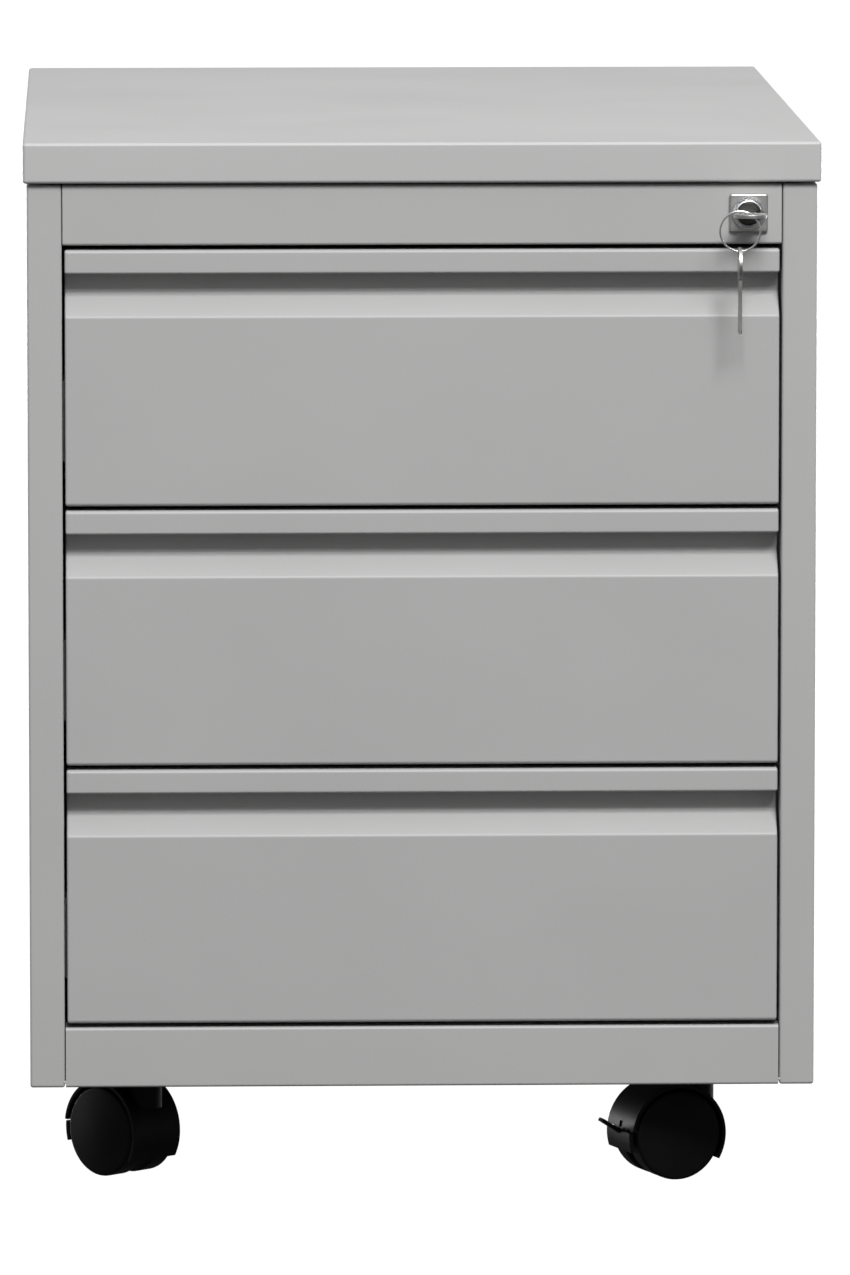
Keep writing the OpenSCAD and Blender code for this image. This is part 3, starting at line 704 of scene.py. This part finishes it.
def build_slides():
    """Fixed, middle and inner members of the six slides, with the ball cages between them."""
    cage = 30 * MM
    for side, word in ((-1, "left"), (1, "right")):
        outer = f"slide_outer_{word}"
        fixed = bmesh.new()
        for i in (1, 2, 3):
            mid = f"slide_mid_{word}_{i}"
            low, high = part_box(mid)
            z = (low.z + high.z) / 2
            add_member(fixed, side, z, low.y, high.y, 0, 9 * MM, 22.5 * MM)
            bm = bmesh.new()
            add_member(bm, side, z, low.y, high.y, 4 * MM, 9 * MM, 17 * MM)
            finish_piece(mid.replace("slide_mid", "mid_member"), bm, [mid])
            balls = bmesh.new()
            for y0, y1 in ((low.y, low.y + cage), (high.y - cage, high.y)):
                add_balls(balls, side, z, y0, y1, 6.6 * MM, 19.1 * MM)
            finish_piece(mid.replace("slide_mid", "mid_balls"), balls, [mid], "steel_balls")
        finish_piece(f"outer_members_{word}", fixed, [outer])
    for i in (1, 2, 3):
        node = f"drawer_{i}_slides"
        low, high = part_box(node)
        z = (low.z + high.z) / 2
        bm = bmesh.new()
        balls = bmesh.new()
        for side in (-1, 1):
            add_member(bm, side, z, low.y, high.y, 13 * MM, 6.5 * MM, 11 * MM)
            add_balls(balls, side, z, high.y - cage, high.y, 8.6 * MM, 13.3 * MM)
        finish_piece(f"drawer_{i}_inner_members", bm, [node])
        finish_piece(f"drawer_{i}_inner_balls", balls, [node], "steel_balls")


# ---- Lock and keys ----

def build_lock():
    """Square plate with a raised double ring, and the face of the cylinder in it, painted near-black as shade."""
    bore, body_r, rear = 6.2, 8.0, -22
    profile = [(bore, rear), (bore, 3.4), (6.5, 3.9), (7.0, 4.1), (7.35, 3.7), (7.45, 2.9), (7.7, 2.9),
               (7.8, 3.6), (8.2, 4.1), (8.6, 4.1), (9.0, 3.5), (9.0, 1.6), (body_r, 1.6), (body_r, rear),
               (bore, rear)]
    ring = bmesh.new()
    add_lathe(ring, [(r * MM, h * MM) for r, h in profile], at_lock(0))
    finish_piece("lock_ring", ring, ["lock_housing"])
    plate_w = 21 * MM
    plate_t = 2.2 * MM
    outlines = [round_rectangle(plate_w, plate_w, 1.6 * MM), circle(body_r * MM)]
    plate = flat_part(outlines, plate_t, 0.8 * MM, at_lock(plate_t / 2))
    finish_piece("lock_plate", plate, ["lock_housing"], "satin_nickel", 50)

    low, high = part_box("lock_cylinder")
    face = LOCK_AXIS.y - low.y
    back = LOCK_AXIS.y - high.y
    half_l = 4 * MM
    half_w = 1.2 * MM
    keyway = [(-half_l, -half_w), (half_l, -half_w), (half_l, half_w), (-half_l, half_w)]
    outlines = [circle(6 * MM, steps=64), keyway]
    barrel = flat_part(outlines, face - back, 0.3 * MM, at_lock((face + back) / 2))
    # The plug's near-black metal is painted shade on the cylinder's face.
    finish_piece("lock_plug", barrel, ["lock_cylinder"], "painted_shade_plug_metal", 50)


def key_outline():
    """Outline of a flat key along +X with its ring hole on the origin: bow, neck and cut blade.
    The bow's radius and the neck's and the blade's half widths are in millimetres."""
    bow, neck, blade = 9.2, 3.8, 3.2
    middle = 4.1
    neck_end = middle + bow + 8
    blade_start = neck_end + 0.8
    tip = middle + bow + 28.6
    start = math.degrees(math.asin(neck / bow))
    points = circle(bow, (middle, 0), start, 360 - start, 56)
    points += [(neck_end, -neck), (blade_start, -blade), (tip - 1.6, -blade), (tip, -1.2), (tip, 0.8),
               (tip - 1.8, blade)]
    first_cut = tip - 3.6
    pitch = 2.9
    for n, depth in enumerate((1.3, 0.6, 1.2, 0.8, 1.5)):
        x = first_cut - n * pitch
        points += [(x + 1.3, blade), (x + 0.4, blade - depth), (x - 0.4, blade - depth), (x - 1.3, blade)]
    points += [(blade_start, blade), (neck_end, neck)]
    return [(x * MM, y * MM) for x, y in points]


def build_key(name, node, matrix):
    """One key, with its ring hole on the matrix's origin."""
    bm = flat_part([key_outline(), circle(3.6 * MM)], 2 * MM, 0.25 * MM, matrix)
    finish_piece(name, bm, [node], "key_steel", 40)


def build_keys():
    """The key in the lock, which lies flat, and the spare key, which hangs edge-on."""
    hole_in = 5.1 * MM
    low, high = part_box("key")
    place = Matrix.Translation((LOCK_AXIS.x, low.y + hole_in, LOCK_AXIS.z))
    build_key("key_in_lock", "key", place @ Matrix.Rotation(math.radians(90), 4, "Z"))
    low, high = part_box("spare_key")
    place = Matrix.Translation(((low.x + high.x) / 2, (low.y + high.y) / 2, high.z - hole_in))
    build_key("key_hanging", "spare_key", place @ Matrix.Rotation(math.radians(90), 4, "Y"))


def build_key_ring():
    """Split ring of nearly two turns of wire, side by side."""
    low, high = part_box("key_ring")
    centre = (low + high) / 2
    wire = 0.54 * MM
    radius = (high.x - low.x) / 2 - (high.y - low.y) / 2
    first_angle = math.radians(200)
    turns = 1.92
    steps = 150
    side_step = 0.1 * MM
    curve = bpy.data.curves.new("key_ring", "CURVE")
    curve.dimensions = "3D"
    curve.bevel_depth = wire
    curve.bevel_resolution = 3
    curve.use_fill_caps = True
    spline = curve.splines.new("POLY")
    spline.points.add(steps)
    for k, point in enumerate(spline.points):
        share = k / steps
        angle = first_angle + 2 * math.pi * turns * share
        shift = side_step * math.tanh(12 * (share - 0.5))
        across, up = radius * math.cos(angle), radius * math.sin(angle)
        point.co = (centre.x + across, centre.y + shift, centre.z + up, 1)
    carrier = bpy.data.objects.new("key_ring_wire", curve)
    bpy.context.scene.collection.objects.link(carrier)
    finish_piece("split_ring", bmesh_of(carrier), ["key_ring"], None, 50)


# ---- Casters ----

def build_wheel(caster, wheel):
    """Moulded wheel with a nearly flat face, a rounded shoulder and a small dimple on its axis."""
    node = f"caster_{caster}_wheel_{wheel}"
    joint = joints[f"{node}_spin"]
    centre = Vector(joint["pos_m"])
    axis = Vector(joint["axis"])
    low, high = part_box(node)
    if ((low + high) / 2 - centre).dot(axis) < 0:
        axis = -axis
    inside = 4.3 * MM
    matrix = Matrix.Translation(centre + axis * inside) @ axis.to_track_quat("Z", "Y").to_matrix().to_4x4()
    bore, hub, rim, tread, web = 3.15, 7, 20.5, 25, 11.2
    profile = [(0, 13), (bore, 13), (bore, 0), (hub, 0), (hub, web), (rim, web), (rim, 0), (24.1, 0),
               (24.7, 0.3), (tread, 0.9), (tread, web), (24.85, 12.0), (24.4, 12.7), (23.7, 13.1),
               (22.8, 13.3), (14, 14.55), (6, 15.05), (0.9, 15.2), (0.7, 15.1), (0, 15.1)]
    bm = bmesh.new()
    add_lathe(bm, [(r * MM, h * MM) for r, h in profile], matrix, 96)
    finish_piece(f"wheel_{caster}_{wheel}", bm, [node], None, 40)


# ---- The object ----

build_cover()
for side, node in ((-1, "side_panel_left"), (1, "side_panel_right")):
    build_side(side, node)
build_rails()
for i in (1, 2, 3):
    build_drawer_front(i)
    build_tray(i)
build_slides()
build_lock()
build_keys()
build_key_ring()
for caster in ("fl", "fr", "rl", "rr"):
    for wheel in ("a", "b"):
        build_wheel(caster, wheel)

# The CAD nodes that no piece has replaced, each with the rounding that its kind has
EDGES = {"hood": 0.7 * MM, "lever": 0.8 * MM, "liner": 0.2 * MM, "pins": 0.3 * MM}
OTHER_EDGES = 0.35 * MM
for name, node in nodes.items():
    if not node.hide_render:
        soften(name, EDGES.get(name.split("_")[-1], OTHER_EDGES))
